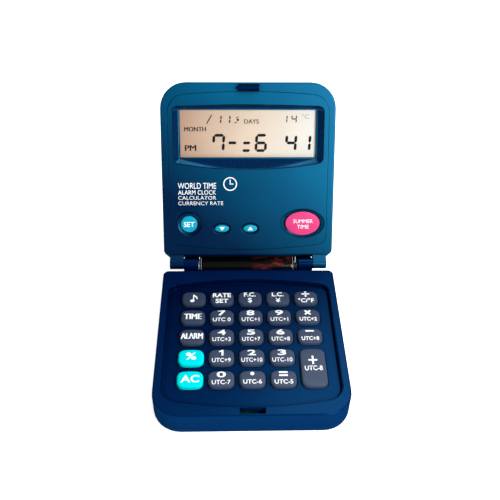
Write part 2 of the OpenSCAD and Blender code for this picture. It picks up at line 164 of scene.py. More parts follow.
def smooth(piece, degrees=35):
    """Shades a piece smooth, but for edges sharper than that."""
    pick(piece)
    bpy.ops.object.shade_smooth_by_angle(angle=math.radians(degrees))


def from_frame(name, node, edge):
    """A piece that starts as a CAD node's own shape, merged, with its edges broken by a small radius."""
    piece = bpy.data.objects.new(name, frame["nodes"][node].data.copy())
    bpy.context.scene.collection.objects.link(piece)
    pick(piece)
    bpy.ops.mesh.customdata_custom_splitnormals_clear()
    bpy.ops.object.mode_set(mode="EDIT")
    bpy.ops.mesh.select_all(action="SELECT")
    bpy.ops.mesh.remove_doubles(threshold=0.004 * mm)
    bpy.ops.mesh.dissolve_limited(angle_limit=math.radians(0.5))
    bpy.ops.object.mode_set(mode="OBJECT")
    modify(piece, "BEVEL", width=edge * mm, segments=2, limit_method="ANGLE",
           angle_limit=math.radians(35), use_clamp_overlap=False)
    smooth(piece)
    modify(piece, "WEIGHTED_NORMAL", keep_sharp=True)
    return piece


def fit_out(piece, material, body, slot, *nodes):
    """Gives a finished piece its material and body, and hides the CAD nodes that it stands for. The slot is
    not used.
    """
    piece.data.materials.clear()
    piece.data.materials.append(material)
    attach(piece, body)
    if nodes:
        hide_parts(*nodes)
    return piece


def moulded_plastic(name, deep, light, roughness, relief, grain=0.45, tone=22, shine=0.15, glow=None,
                    painted_light_fade=None, painted_shade_reach=0.0):
    """Moulded plastic with a spark-eroded skin: deep and light are its two tones, which drift over
    tone millimetres, and grain and relief are the width and height of the skin's pits in millimetres.
    Glow is the colour and share of a soft sheen. The fade, a direction and two places along it in
    millimetres, runs the tone from deep to light between them, as painted light and shade: deep stands
    for shaded places and light for lit ones. The nook is how far, in millimetres, painted shade darkens
    grooves, recesses and inner corners."""
    material, tree = new_material(name)
    place = add(tree, "ShaderNodeTexCoord").outputs["Object"]
    drift = add(tree, "ShaderNodeTexNoise", {"Scale": 1 / (tone * mm), "Detail": 3.0, "Roughness": 0.6},
                {"Vector": place})
    share = drift.outputs["Fac"]
    # painted light and shade: the tone runs from the deep, shaded colour to the light, lit one along a fixed
    # direction
    if painted_light_fade:
        along = add(tree, "ShaderNodeVectorMath", {"operation": "DOT_PRODUCT", 1: painted_light_fade[0]}, {0: place})
        run = add(tree, "ShaderNodeMapRange", {"From Min": painted_light_fade[1] * mm, "From Max": painted_light_fade[2] * mm},
                  {"Value": along.outputs["Value"]})
        sway = add(tree, "ShaderNodeMath", {"operation": "MULTIPLY_ADD", 1: 0.3, 2: -0.15}, {0: share})
        total = add(tree, "ShaderNodeMath", {"operation": "ADD"}, {0: run.outputs[0], 1: sway.outputs[0]})
        share = total.outputs[0]
    colour = add(tree, "ShaderNodeMix", {"data_type": "RGBA", 6: srgb(deep), 7: srgb(light)}, {0: share})
    # painted shade: grooves, recesses and inner corners are darkened towards near black
    if painted_shade_reach:
        open_sky = add(tree, "ShaderNodeAmbientOcclusion", {"samples": 8, "Distance": painted_shade_reach * mm})
        shade = add(tree, "ShaderNodeMath", {"operation": "POWER", 1: 2.0}, {0: open_sky.outputs["AO"]})
        colour = add(tree, "ShaderNodeMix", {"data_type": "RGBA", 6: srgb("#000010")},
                     {0: shade.outputs[0], 7: colour.outputs[2]})
    pits = add(tree, "ShaderNodeTexNoise", {"Scale": 1 / (grain * mm), "Detail": 2.0}, {"Vector": place})
    skin = add(tree, "ShaderNodeBump", {"Strength": 0.6, "Distance": relief * mm},
               {"Height": pits.outputs["Fac"]})
    gloss = add(tree, "ShaderNodeMapRange", {"To Min": roughness - 0.05, "To Max": roughness + 0.07},
                {"Value": pits.outputs["Fac"]})
    shader = add(tree, "ShaderNodeBsdfPrincipled", {"IOR": 1.53, "Specular IOR Level": shine}, {
        "Base Color": colour.outputs[2], "Roughness": gloss.outputs[0], "Normal": skin.outputs[0]})
    surface = shader.outputs[0]
    if glow:
        sheen = add(tree, "ShaderNodeBsdfAnisotropic", {"Color": srgb(glow[0])},
                    {"Roughness": gloss.outputs[0], "Normal": skin.outputs[0]})
        surface = add(tree, "ShaderNodeMixShader", {0: glow[1]}, {1: surface, 2: sheen.outputs[0]}).outputs[0]
    add(tree, "ShaderNodeOutputMaterial", {}, {"Surface": surface})
    return material


# satin ABS: a deep navy that the light lifts only a little, with a soft blue sheen and no sharp mirror.
# The skin's pits are half a millimetre wide here, drawn coarser than the real ones so that they show.
# its tone is painted darker behind and lighter in front, as painted light and shade, and painted shade
# darkens its grooves and inner corners
case_abs = moulded_plastic("case_abs_navy_satin", "#001038", "#001c44", 0.24, 0.012, shine=0.0,
                           glow=("#44b0ff", 0.02), painted_light_fade=((0, -1, 0), -40, 40), painted_shade_reach=2)
fit_out(from_frame("base_case", "base_shell", 0.1), case_abs, "base", "case", "base_shell")

# ---- deck ----
# The keypad surround, a thin ABS moulding with a raised lip. It drops into the base and is held by the
# same screws.

# satin ABS in the same navy, with a softer sheen. Its tone is painted from near black behind, for the shade
# under the lid's foot, to navy in front, as painted shade and light, and painted shade darkens its grooves
# and inner corners.
deck_abs = moulded_plastic("deck_abs_navy_satin", "#000628", "#001a42", 0.22, 0.012, shine=0.0,
                           glow=("#44b0ff", 0.016), painted_light_fade=((0.2, -1, 0), -32, 30), painted_shade_reach=2)
fit_out(from_frame("deck", "deck_panel", 0.2), deck_abs, "base", "case", "deck_panel")

# ---- keys ----
# Twenty-four caps moulded in ABS with a soft-touch coating: steep sides, a rounded edge and a low crown.
# A flange under the deck holds each one in, and a stem stands on the rubber mat. Two are cyan, and the
# plus key is two rows deep. Each moves by itself.
key_edge_r = 0.95
key_crown = 0.03
key_skirt = 3.4               # how far the cap runs down into the deck
key_flange = (0.6, 3.8, 3.0)  # width beyond the cap, and depth of foot and top under the key's top
key_stem_r = 2.2
key_corner_r = 2.7
key_bow_r = 26
under_edge_r = 0.1            # rounding of the flanges, which stay out of sight
stem_edge_r = 0.05            # and of the stems


def bowed_ring(width, depth, corner_r, bow_r, steps=7):
    """Outline of a rectangle with bowed ends and round corners, anticlockwise about its middle."""
    half, centre = width / 2, depth / 2 - bow_r
    rise = math.sqrt((bow_r - corner_r) ** 2 - (half - corner_r) ** 2)
    turn = math.atan2(rise, half - corner_r)
    corner = [(half - corner_r + corner_r * math.cos(turn * i / steps),
               centre + rise + corner_r * math.sin(turn * i / steps)) for i in range(steps + 1)]
    sweep = math.pi - 2 * turn
    end = [(bow_r * math.cos(turn + sweep * i / steps), centre + bow_r * math.sin(turn + sweep * i / steps))
           for i in range(1, steps)]
    far = corner + end + [(-x, y) for x, y in reversed(corner)]
    return far + [(-x, -y) for x, y in far]


def cap(name, ring, low, edge, edge_r, crown):
    """A moulded cap on an outline: a wall from low to edge, a rounded edge, then a crown of (scale, rise)."""
    bpy.ops.object.select_all(action="DESELECT")
    bpy.ops.mesh.primitive_circle_add(vertices=len(ring), radius=mm, fill_type="NGON")
    piece = bpy.context.object
    piece.name = name
    for vertex, (x, y) in zip(piece.data.vertices, ring):
        vertex.co = Vector((x, y, low)) * mm
    bpy.ops.object.mode_set(mode="EDIT")
    bpy.ops.mesh.select_all(action="SELECT")
    bpy.ops.mesh.extrude_region_move(TRANSFORM_OT_translate={"value": (0, 0, (edge - low) * mm)})
    arcs = 5
    for i in range(arcs):
        a, b = math.pi / 2 * i / arcs, math.pi / 2 * (i + 1) / arcs
        bpy.ops.mesh.inset(thickness=edge_r * (math.cos(a) - math.cos(b)) * mm,
                           depth=edge_r * (math.sin(b) - math.sin(a)) * mm)
    for scale, rise in crown:
        bpy.ops.mesh.extrude_region_move(TRANSFORM_OT_translate={"value": (0, 0, rise * mm)})
        bpy.ops.transform.resize(value=(scale, scale, 1), center_override=(0, 0, 0))
    bpy.ops.mesh.select_all(action="SELECT")
    bpy.ops.mesh.normals_make_consistent(inside=False)
    bpy.ops.object.mode_set(mode="OBJECT")
    smooth(piece, 50)
    return piece


def ellipse(half_x, half_y, steps=56):
    """Outline of an ellipse, anticlockwise about its middle."""
    turns = [math.tau * i / steps for i in range(steps)]
    return [(half_x * math.cos(a), half_y * math.sin(a)) for a in turns]


def shift(piece, x, y, z=0):
    """Moves a piece's mesh, in millimetres."""
    piece.data.transform(Matrix.Translation(Vector((x, y, z)) * mm))


# soft-touch coating over ABS, in slate and in cyan: it is matt, and its skin is finer than the case's. The
# slate's tone is painted darker behind and lighter towards the front and right, as painted light.
key_slate = moulded_plastic("key_matt_slate", "#263248", "#3e495f", 0.5, 0.008, 0.3, 8, 0.1,
                            painted_light_fade=((0.3, -1, 0), -30, 34))
key_cyan = moulded_plastic("key_matt_cyan", "#00ccd2", "#00d6da", 0.5, 0.008, 0.3, 8, 0.0)

# screen-printed ink: flat opaque white, with the thin greyish spots that wear gives it
ink, tree = new_material("printed_ink_white")
place = add(tree, "ShaderNodeTexCoord").outputs["Object"]
wear = add(tree, "ShaderNodeTexNoise", {"Scale": 1 / (0.5 * mm), "Detail": 4.0}, {"Vector": place})
shade = add(tree, "ShaderNodeMix", {"data_type": "RGBA", 6: srgb("#dfe6ec"), 7: srgb("#ffffff")},
            {0: wear.outputs["Fac"]})
shader = add(tree, "ShaderNodeBsdfPrincipled", {"Roughness": 0.5, "Specular IOR Level": 0.3},
             {"Base Color": shade.outputs[2]})
add(tree, "ShaderNodeOutputMaterial", {}, {"Surface": shader.outputs[0]})


def lettering(words, width, height, x=0.0, y=0.0, bold=0.025):
    """Words as a flat mesh of that width and height in millimetres, with their middle at x, y."""
    bpy.ops.object.select_all(action="DESELECT")
    bpy.ops.object.text_add()
    text = bpy.context.object
    text.data.body = words
    text.data.offset = bold
    text.data.resolution_u = 4
    bpy.ops.object.convert(target="MESH")
    return fit_flat(bpy.context.object, width, height, x, y)


def heavy(words, width, height, x=0.0, y=0.0, weight=0.16):
    """Words made heavier by that many millimetres: two copies of them side by side."""
    return [lettering(words, width - weight, height, x + side * weight / 2, y, 0.0) for side in (-1, 1)]


def fit_flat(piece, width, height, x, y):
    """Scales a flat mesh to that width and height and puts its middle at x, y."""
    low = Vector([min(v.co[i] for v in piece.data.vertices) for i in range(3)])
    high = Vector([max(v.co[i] for v in piece.data.vertices) for i in range(3)])
    size, middle = high - low, (high + low) / 2
    grow = Matrix.Diagonal((width * mm / size.x, height * mm / size.y, 1, 1))
    piece.data.transform(Matrix.Translation(Vector((x, y, 0)) * mm) @ grow @ Matrix.Translation(-middle))
    return piece


def polygon(corners, x=0.0, y=0.0):
    """A flat face with these corners, anticlockwise, in millimetres."""
    bpy.ops.object.select_all(action="DESELECT")
    bpy.ops.mesh.primitive_circle_add(vertices=len(corners), radius=mm, fill_type="NGON")
    piece = bpy.context.object
    for vertex, (px, py) in zip(piece.data.vertices, corners):
        vertex.co = Vector((px + x, py + y, 0)) * mm
    return piece


def bar(width, height, x=0.0, y=0.0):
    """A flat rectangle about x, y."""
    w, h = width / 2, height / 2
    return polygon([(-w, -h), (w, -h), (w, h), (-w, h)], x, y)


def disc(half_x, half_y, x=0.0, y=0.0, steps=28):
    """A flat ellipse about x, y."""
    return polygon(ellipse(half_x, half_y, steps), x, y)


def ring_band(outer, inner, x=0.0, y=0.0, steps=48):
    """A flat ring."""
    piece = disc(outer, outer, x, y, steps)
    bpy.ops.object.mode_set(mode="EDIT")
    bpy.ops.mesh.select_all(action="SELECT")
    bpy.ops.mesh.inset(thickness=(outer - inner) * mm)
    bpy.ops.mesh.delete(type="FACE")
    bpy.ops.object.mode_set(mode="OBJECT")
    return piece


def join(name, pieces):
    """Makes one piece of several, with its own name."""
    bpy.ops.object.select_all(action="DESELECT")
    for piece in pieces:
        piece.select_set(True)
    bpy.context.view_layer.objects.active = pieces[0]
    if len(pieces) > 1:
        bpy.ops.object.join()
    pieces[0].name = name
    return pieces[0]


ink_thick = 0.03  # thicker than real ink, so that it stays clear of what it is printed on


def one_layer(name, flats):
    """Joins flat shapes into one layer that faces up."""
    layer = join(name, flats)
    pick(layer)
    bpy.ops.object.mode_set(mode="EDIT")
    bpy.ops.mesh.select_all(action="SELECT")
    bpy.ops.mesh.remove_doubles(threshold=0.001 * mm)
    bpy.ops.mesh.normals_make_consistent(inside=False)
    bpy.ops.object.mode_set(mode="OBJECT")
    if layer.data.polygons[0].normal.z < 0:
        layer.data.flip_normals()
    return layer


def printed(name, flats, ground, above, cuts=2):
    """Flat shapes pressed down on a piece as a layer of ink; above is a height clear of it, and cuts says
    how finely the layer is divided to follow a round surface."""
    layer = one_layer(name, flats)
    shift(layer, 0, 0, above)
    modify(layer, "TRIANGULATE")
    bpy.ops.object.mode_set(mode="EDIT")
    bpy.ops.mesh.select_all(action="SELECT")
    bpy.ops.mesh.subdivide(number_cuts=cuts)
    bpy.ops.object.mode_set(mode="OBJECT")
    modify(layer, "SHRINKWRAP", target=ground, wrap_method="PROJECT", use_project_z=True,
           use_negative_direction=True, use_positive_direction=False, offset=0.01 * mm)
    modify(layer, "SOLIDIFY", thickness=ink_thick * mm, offset=1.0)
    return layer


def note():
    """An eighth note: a tilted head, a stem and a flag."""
    head = disc(1.0, 0.72, -0.9, -1.5)
    head.data.transform(Matrix.Rotation(math.radians(12), 4, "Z"))
    stem = polygon([(-0.28, -1.5), (0.12, -1.5), (0.12, 2.0), (-0.28, 2.0)])
    flag = polygon([(0.12, 2.0), (0.12, 1.0), (1.0, 0.3), (1.3, -0.7), (1.75, -0.6), (1.5, 0.6), (0.9, 1.2)])
    return [head, stem, flag]


def two_lines(top, low, low_w=7.6, top_w=3.5):
    """A figure or sign above a small line of words."""
    return [lettering(top, top_w, 2.9, 0, 1.95), lettering(low, low_w, 2.1, 0, -1.75, 0.015)]


def figure_one():
    """A figure 1 with a plain stem and a short flag."""
    return [polygon([(0.05, 0.5), (0.85, 0.5), (0.85, 3.4), (0.25, 3.4), (-0.95, 2.75), (-0.95, 2.2),
                     (0.05, 2.6)])]


LEGENDS = {
    "key_melody": note,
    "key_rate_set": lambda: [lettering("RATE", 8.0, 2.5, 0, 1.6), lettering("SET", 5.6, 2.5, 0, -1.8)],
    "key_foreign": lambda: [lettering("F.C.", 5.2, 2.5, 0, 1.9), lettering("$", 1.8, 3.0, 0, -1.6, 0.01)],
    "key_local": lambda: [lettering("L.C.", 5.2, 2.5, 0, 1.9), lettering("¥", 2.1, 2.6, 0, -1.6, 0.01)],
    "key_divide": lambda: [bar(3.5, 0.6, 0, 2.0), disc(0.45, 0.5, 0, 3.2), disc(0.45, 0.5, 0, 0.8),
                           lettering("°C/°F", 7.0, 2.5, 0, -1.75)],
    "key_time": lambda: heavy("TIME", 7.6, 3.0, 0, 0.1, 0.3),
    "key_7": lambda: two_lines("7", "UTC 0"),
    "key_8": lambda: two_lines("8", "UTC+1"),
    "key_9": lambda: two_lines("9", "UTC+1"),
    "key_multiply": lambda: [lettering("×", 3.1, 2.9, 0, 1.95, 0.035),
                             lettering("UTC+2", 7.4, 2.1, 0, -1.75)],
    "key_alarm": lambda: heavy("ALARM", 9.3, 3.0, 0, 0.1, 0.3),
    "key_4": lambda: two_lines("4", "UTC+3"),
    "key_5": lambda: two_lines("5", "UTC+7"),
    "key_6": lambda: two_lines("6", "UTC+8"),
    "key_minus": lambda: [bar(3.5, 0.75, 0, 2.3), lettering("UTC+8", 7.4, 2.1, 0, -1.6)],
    "key_percent": lambda: [lettering("%", 4.3, 3.7, 0, 0.4)],
    "key_1": lambda: figure_one() + [lettering("UTC+9", 7.6, 2.1, 0, -1.75, 0.015)],
    "key_2": lambda: two_lines("2", "UTC+10", 8.6),
    "key_3": lambda: two_lines("3", "UTC-10", 8.2),
    "key_clear": lambda: [lettering("AC", 7.4, 3.6, 0, 0)],
    "key_0": lambda: two_lines("0", "UTC-7", 7.4, 3.7),
    "key_point": lambda: [disc(0.8, 0.85, 0, 2.2), lettering("UTC-6", 7.4, 2.1, 0, -1.6)],
    "key_equals": lambda: [bar(3.5, 0.8, 0, 2.75), bar(3.5, 0.8, 0, 1.25),
                           lettering("UTC-5", 7.4, 2.1, 0, -1.75)],
    "key_plus": lambda: [bar(3.6, 0.75, 0, 3.3), bar(0.75, 1.7, 0, 4.52), bar(0.75, 1.7, 0, 2.08),
                         lettering("UTC-8", 7.2, 2.4, 0, -0.7)],
}
for node, legend in LEGENDS.items():
    low, high = (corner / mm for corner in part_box(node))
    middle = (low + high) / 2
    wide, deep = high.x - low.x - 2 * key_flange[0], high.y - low.y - 2 * key_flange[0]
    top = cap("cap", bowed_ring(wide, deep, key_corner_r, key_bow_r), high.z - key_skirt,
              high.z - key_edge_r - key_crown, key_edge_r, [(0.7, 0.02), (0.6, 0.01)])
    layer = printed("legend_" + node[4:], legend(), top, high.z + 1)
    flange = cap("flange", bowed_ring(high.x - low.x, high.y - low.y, key_corner_r, key_bow_r),
                 high.z - key_flange[1], high.z - key_flange[2] - under_edge_r, under_edge_r, [])
    stem = cap("stem", ellipse(key_stem_r, key_stem_r, 32), low.z, high.z - key_skirt, stem_edge_r, [])
    body = join("cap_" + node[4:], [top, flange, stem])
    finish, slot = (key_cyan, "key_cyan") if node in ("key_percent", "key_clear") else (key_slate, "key_grey")
    for piece in (body, layer):
        shift(piece, middle.x, middle.y)
    fit_out(body, finish, node, slot, node)
    fit_out(layer, ink, node, "white_plastic")


# ---- keypad mat and key board ----
# Inside the base: a black silicone mat whose pads spring the keys, and a green glass-fibre board under
# it with the processor under a drop of epoxy, a crystal, a capacitor and the brass buzzer. Small steel
# screws hold the boards, and four larger ones the case.
def plain_finish(name, hex_colour, roughness, metallic=0.0, fleck=0.12, size=1.5, relief=0.01, shine=0.5):
    """A finish for a small part: one colour that drifts a little, with a fine uneven skin of that size."""
    material, tree = new_material(name)
    place = add(tree, "ShaderNodeTexCoord").outputs["Object"]
    uneven = add(tree, "ShaderNodeTexNoise", {"Scale": 1 / (size * mm), "Detail": 4.0}, {"Vector": place})
    colour = srgb(hex_colour)
    dark = tuple(c * (1 - fleck) for c in colour[:3]) + (1.0,)
    light = tuple(min(1.0, c * (1 + fleck)) for c in colour[:3]) + (1.0,)
    shade = add(tree, "ShaderNodeMix", {"data_type": "RGBA", 6: dark, 7: light}, {0: uneven.outputs["Fac"]})
    skin = add(tree, "ShaderNodeBump", {"Strength": 0.5, "Distance": relief * mm},
               {"Height": uneven.outputs["Fac"]})
    shader = add(tree, "ShaderNodeBsdfPrincipled",
                 {"Metallic": metallic, "Roughness": roughness, "Specular IOR Level": shine},
                 {"Base Color": shade.outputs[2], "Normal": skin.outputs[0]})
    add(tree, "ShaderNodeOutputMaterial", {}, {"Surface": shader.outputs[0]})
    return material


def finish_node(material, *nodes):
    """Gives CAD nodes that stay in view a material in place of their plain one."""
    for node in nodes:
        slots = frame["nodes"][node].data.materials
        slots.clear()
        slots.append(material)


# moulded silicone rubber: dull, nearly black, with a dusty grey bloom
silicone = plain_finish("silicone_black_matt", "#24282e", 0.75, size=0.6)
# lacquered circuit board: glossy green over the faint clouds of the glass cloth
board_green = plain_finish("circuit_board_green_lacquer", "#155c34", 0.3, fleck=0.25, size=2.5)
# poured epoxy: a glassy black drop
epoxy = plain_finish("epoxy_black_drop", "#101114", 0.22, size=3)
# pressed steel, nickel-plated: bright and pale, with a soft mirror
plated_steel = plain_finish("steel_nickel_plated", "#e4e7eb", 0.3, 0.5, fleck=0.06, size=0.8)
# rolled brass: a warm yellow mirror with faint streaks
rolled_brass = plain_finish("brass_rolled", "#c89a3c", 0.3, 1.0, fleck=0.08, size=0.8)
# extruded PVC: a smooth, waxy red
wire_red = plain_finish("wire_pvc_red", "#a8201c", 0.4, size=2)
finish_node(silicone, "keypad_mat", "lid_button_mat")
finish_node(board_green, "key_board", "display_board")
finish_node(epoxy, "processor_blob", "thermistor", "capacitor")
finish_node(plated_steel, "quartz_crystal")
finish_node(rolled_brass, "piezo_buzzer")
finish_node(wire_red, "base_wires", "lid_wires")
for name, node, body in (("case_screw_set", "case_screws", "base"),
                         ("board_screw_set", "board_screws", "base"),
                         ("lid_screw_set", "lid_board_screws", "lid")):
    fit_out(from_frame(name, node, 0.1), plated_steel, body, "steel", node)

# ---- cell ----
# One AAA cell: a nickel-plated steel can with a pressed terminal, in a black shrink sleeve that is
# rolled over both ends and printed with a copper-red band.
cell_low, cell_high = (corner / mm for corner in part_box("cell_can"))
wrap_low, wrap_high = (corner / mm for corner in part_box("cell_wrap"))
cell_y, cell_z = (cell_low.y + cell_high.y) / 2, (cell_low.z + cell_high.z) / 2


def turned(name, profile, x_axis_y, x_axis_z, steps=64):
    """A turned piece about a line along X: profile is (x, radius) from one end to the other."""
    bpy.ops.object.select_all(action="DESELECT")
    bpy.ops.mesh.primitive_circle_add(vertices=steps, radius=profile[0][1] * mm, fill_type="NGON",
                                      location=(profile[0][0] * mm, 0, 0), rotation=(0, math.pi / 2, 0))
    piece = bpy.context.object
    piece.name = name
    bpy.ops.object.transform_apply(location=True, rotation=True, scale=True)
    bpy.ops.object.mode_set(mode="EDIT")
    bpy.ops.mesh.select_all(action="SELECT")
    for (x0, r0), (x1, r1) in zip(profile, profile[1:]):
        bpy.ops.mesh.extrude_region_move(TRANSFORM_OT_translate={"value": ((x1 - x0) * mm, 0, 0)})
        bpy.ops.transform.resize(value=(1, r1 / r0, r1 / r0), center_override=(x1 * mm, 0, 0))
    bpy.ops.mesh.select_all(action="SELECT")
    bpy.ops.mesh.normals_make_consistent(inside=False)
    bpy.ops.object.mode_set(mode="OBJECT")
    shift(piece, 0, x_axis_y, x_axis_z)
    smooth(piece, 40)
    return piece


can_r = (cell_high.z - cell_low.z) / 2
foot, shoulder, tip = cell_low.x, wrap_high.x + 0.5, cell_high.x
# drawn steel, nickel-plated: a little whiter than the contacts, as it is new
cell_steel = plain_finish("cell_steel_nickel_plated", "#eceef2", 0.3, 0.4, fleck=0.05, size=0.6)
cell_can = turned("cell_can_steel", [
    (foot + 0.25, 2.2), (foot + 0.2, 3.4), (foot, 3.7), (foot, can_r - 0.5), (foot + 0.15, can_r - 0.15),
    (foot + 0.5, can_r), (shoulder, can_r), (shoulder + 0.3, can_r - 0.25), (shoulder + 0.4, can_r - 0.8),
    (shoulder + 0.42, 2.4), (tip - 0.8, 2.0), (tip - 0.25, 1.88), (tip - 0.05, 1.7), (tip, 1.3),
], cell_y, cell_z)
fit_out(cell_can, cell_steel, "base", "steel", "cell_can")

# shrink film: black ink under clear PVC, glossy and faintly wrinkled, with a copper-red printed band
# to the right of the middle
film, tree = new_material("shrink_film_black_and_copper")
place = add(tree, "ShaderNodeTexCoord").outputs["Object"]
along = add(tree, "ShaderNodeSeparateXYZ", {}, {"Vector": place})
stretch = add(tree, "ShaderNodeMapping", {"Scale": (0.35, 1.0, 1.0)}, {"Vector": place})
blotch = add(tree, "ShaderNodeTexNoise", {"Scale": 1 / (3 * mm), "Detail": 4.0, "Distortion": 0.8},
             {"Vector": stretch.outputs[0]})
red = add(tree, "ShaderNodeValToRGB", {}, {"Fac": blotch.outputs["Fac"]})
red.color_ramp.elements[0].position, red.color_ramp.elements[0].color = 0.48, srgb("#060303")
red.color_ramp.elements[1].position, red.color_ramp.elements[1].color = 0.66, srgb("#6a201a")
band = add(tree, "ShaderNodeMapRange", {"From Min": 1 * mm, "From Max": 8 * mm},
           {"Value": along.outputs["X"]})
print_colour = add(tree, "ShaderNodeMix", {"data_type": "RGBA", 6: srgb("#050404")},
                   {0: band.outputs[0], 7: red.outputs["Color"]})
wrinkle = add(tree, "ShaderNodeTexNoise", {"Scale": 1 / (1.6 * mm), "Detail": 3.0}, {"Vector": place})
skin = add(tree, "ShaderNodeBump", {"Strength": 0.7, "Distance": 0.06 * mm},
           {"Height": wrinkle.outputs["Fac"]})
shader = add(tree, "ShaderNodeBsdfPrincipled", {"Roughness": 0.16, "IOR": 1.54, "Specular IOR Level": 0.35},
             {"Base Color": print_colour.outputs[2], "Normal": skin.outputs[0]})
add(tree, "ShaderNodeOutputMaterial", {}, {"Surface": shader.outputs[0]})

wrap_r = (wrap_high.z - wrap_low.z) / 2
cell_sleeve = turned("cell_sleeve", [
    (wrap_low.x - 0.85, wrap_r - 0.75), (wrap_low.x - 0.75, wrap_r - 0.45), (wrap_low.x - 0.5, wrap_r - 0.12),
    (wrap_low.x, wrap_r), (wrap_high.x - 0.1, wrap_r), (wrap_high.x + 0.3, wrap_r - 0.03),
    (wrap_high.x + 0.5, wrap_r - 0.1)], cell_y, cell_z)
fit_out(cell_sleeve, film, "base", "cell_label", "cell_wrap")

# ---- contacts ----
# Two nickel-plated steel contacts in the housing's end blocks: a plate with a coiled spring at the
# left, and a pressed plate with a raised boss at the right.
spring_low, spring_high = (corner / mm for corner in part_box("contact_spring"))
plate_low, plate_high = (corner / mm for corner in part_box("contact_plate"))
coil_wire_r = 0.22
coil_turns = 3
coil_from, coil_to = spring_low.x + 0.3 + coil_wire_r, spring_high.x - 0.02
coil_r = (2.9, 2.0)
coil = bpy.data.curves.new("coil", "CURVE")
coil.dimensions = "3D"
coil.bevel_depth = coil_wire_r * mm
coil.bevel_resolution = 3
spline = coil.splines.new("POLY")
coil_steps = 24 * coil_turns
spline.points.add(coil_steps)
for i in range(coil_steps + 1):
    share = i / coil_steps
    a, r = math.tau * coil_turns * share, coil_r[0] + (coil_r[1] - coil_r[0]) * share
    x = coil_from + (coil_to - coil_from) * share
    spline.points[i].co = (*(Vector((x, r * math.cos(a), r * math.sin(a))) * mm), 1)
coil_piece = bpy.data.objects.new("coil", coil)
bpy.context.scene.collection.objects.link(coil_piece)
pick(coil_piece)
bpy.ops.object.convert(target="MESH")
coil_piece = bpy.context.object
shift(coil_piece, 0, cell_y, cell_z)
disc_r = (spring_high.z - spring_low.z) / 2
left_plate = turned("left_plate", [
    (spring_low.x, disc_r - 0.05), (spring_low.x, disc_r), (spring_low.x + 0.25, disc_r),
    (spring_low.x + 0.3, disc_r - 0.1)], cell_y, cell_z, 48)
fit_out(join("contact_with_coil", [left_plate, coil_piece]), plated_steel, "base", "steel", "contact_spring")
boss = plate_low.x
right_plate = turned("contact_with_boss", [
    (boss, 1.0), (boss + 0.05, 1.3), (boss + 0.3, 1.45), (plate_high.x - 0.32, 1.7),
    (plate_high.x - 0.3, disc_r - 0.08), (plate_high.x - 0.25, disc_r), (plate_high.x, disc_r)],
    cell_y, cell_z, 48)
fit_out(right_plate, plated_steel, "base", "steel", "contact_plate")

# ---- cell cover ----
# The back and floor of the cell housing, one thin ABS moulding that slides off backwards on two
# tongues. Ribs on its back give the thumb a hold.
cover = from_frame("cover", "cell_cover", 0.15)
cover_low, cover_high = (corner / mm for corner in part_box("cell_cover"))
rib_count, rib_pitch, rib_r = 7, 1.8, 0.28
rib_sink = 0.14               # how deep a rib's middle lies in the cover
rib_top, rib_foot = 0.6, 3.6  # how far the ribs reach above and below the cell's axis
housing_r = cover_high.y - cell_y
ribs = []
for i in range(rib_count):
    x = (i - (rib_count - 1) / 2) * rib_pitch
    bpy.ops.object.select_all(action="DESELECT")
    bpy.ops.mesh.primitive_torus_add(major_radius=(housing_r - rib_sink) * mm, minor_radius=rib_r * mm,
                                     major_segments=96, minor_segments=10, rotation=(0, math.pi / 2, 0))
    rib = bpy.context.object
    bpy.ops.object.transform_apply(location=True, rotation=True, scale=True)
    shift(rib, x, cell_y, cell_z)
    bpy.ops.object.mode_set(mode="EDIT")
    for height, normal in ((cell_z + rib_top, (0, 0, 1)), (cell_z - rib_foot, (0, 0, -1))):
        bpy.ops.mesh.select_all(action="SELECT")
        bpy.ops.mesh.bisect(plane_co=(0, 0, height * mm), plane_no=normal, use_fill=True, clear_outer=True)
    bpy.ops.mesh.select_all(action="SELECT")
    bpy.ops.mesh.bisect(plane_co=(0, cell_y * mm, 0), plane_no=(0, -1, 0), use_fill=True, clear_outer=True)
    bpy.ops.object.mode_set(mode="OBJECT")
    smooth(rib, 40)
    ribs.append(rib)
cover = join("cell_cover_ribbed", [cover] + ribs)
fit_out(cover, case_abs, "cell_cover", "case", "cell_cover")

# ---- hinge ----
# A turned steel pin on the right, and on the left a hollow ABS sleeve that the lid turns on, with the
# wires running through it.
finish_node(plated_steel, "hinge_pin")
finish_node(case_abs, "hinge_sleeve")

# ---- lid shell ----
# The back half of the lid, with the outer knuckles and a rounded foot that clears the cell. It is moulded in
# ABS like the base; its tone is painted greener and lighter than the base's, for the stronger light that
# falls on the lid.
lid_lean = math.radians(60)  # from lying flat to where the open lid rests
lid_turn = Matrix.Rotation(lid_lean, 4, "X")
lid_place = Matrix.Translation(hinge_at) @ lid_turn

# satin ABS, rougher than the base's and with a stronger blue-green sheen. Its tone is painted from near black
# at the foot and the left to teal at the upper right, as painted light and shade, and painted shade darkens
# its grooves and inner corners.
lid_abs = moulded_plastic("lid_abs_teal_satin", "#000a30", "#004a6c", 0.34, 0.02, shine=0.0,
                          glow=("#50c4ff", 0.045), painted_light_fade=((0.6, 0, 0.8), 10, 58), painted_shade_reach=3)
fit_out(from_frame("lid_case", "lid_shell", 0.1), lid_abs, "lid", "case", "lid_shell")

# ---- lid panel ----
# The lid's inner face, a thin ABS plate: a bowed recess frames the display, and four shallow dishes
# hold the buttons. A fine groove runs round it where it meets the shell.
lid_face = fit_out(from_frame("lid_face", "lid_panel", 0.25), lid_abs, "lid", "case", "lid_panel")

